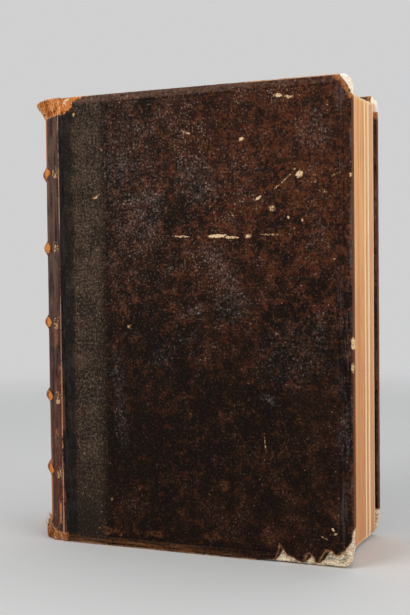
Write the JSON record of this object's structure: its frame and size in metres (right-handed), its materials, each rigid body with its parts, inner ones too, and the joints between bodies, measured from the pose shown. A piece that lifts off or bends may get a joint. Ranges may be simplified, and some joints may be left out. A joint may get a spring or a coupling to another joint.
{
  "type": "antique leather book",
  "caption": "Large old book in worn dark leather with raised bands on a rounded spine, opening covers, a hollow fore-edge and bare board corners.",
  "frame": {"origin": "middle of the book's foot, on the plane it stands on", "axes": "+Z from foot to head, +X from spine to fore-edge, +Y from front cover to back cover"},
  "size_m": [0.2782, 0.102, 0.36],
  "materials": {
    "leaves": "old rag paper, edges tanned and dusty",
    "spine_leather": "worn dark brown calf, rubbed to tan on the raised parts",
    "cover_leather": "worn dark brown calf, scuffed, low gloss",
    "pasteboard": "old cream pasteboard",
    "endpaper": "aged laid paper",
    "lining_paper": "glued waste paper",
    "cord": "twisted hemp cord",
    "endband": "thread worked over a cord core"
  },
  "bodies": {
    "book_block": {"text_block": "leaves", "spine_leather": "spine_leather", "spine_lining_1": "lining_paper", "spine_lining_2": "lining_paper", "spine_lining_3": "lining_paper", "spine_lining_4": "lining_paper", "spine_lining_5": "lining_paper", "spine_lining_6": "lining_paper", "band_cord_1": "cord", "band_cord_2": "cord", "band_cord_3": "cord", "band_cord_4": "cord", "band_cord_5": "cord", "headband": "endband", "tailband": "endband"},
    "front_cover": {"front_board": "pasteboard", "front_leather": "cover_leather", "front_pastedown": "endpaper", "front_slip_1": "cord", "front_slip_2": "cord", "front_slip_3": "cord", "front_slip_4": "cord", "front_slip_5": "cord"},
    "back_cover": {"back_board": "pasteboard", "back_leather": "cover_leather", "back_pastedown": "endpaper", "back_slip_1": "cord", "back_slip_2": "cord", "back_slip_3": "cord", "back_slip_4": "cord", "back_slip_5": "cord"}
  },
  "joints": [
    {"name": "front_cover_hinge", "type": "hinge", "parent": "book_block", "child": "front_cover", "pos_m": [-0.0979, -0.0513, 0.18], "axis": [0, 0, -1], "range_deg": [0, 180]},
    {"name": "back_cover_hinge", "type": "hinge", "parent": "book_block", "child": "back_cover", "pos_m": [-0.0979, 0.0513, 0.18], "axis": [0, 0, 1], "range_deg": [0, 180]}
  ]
}
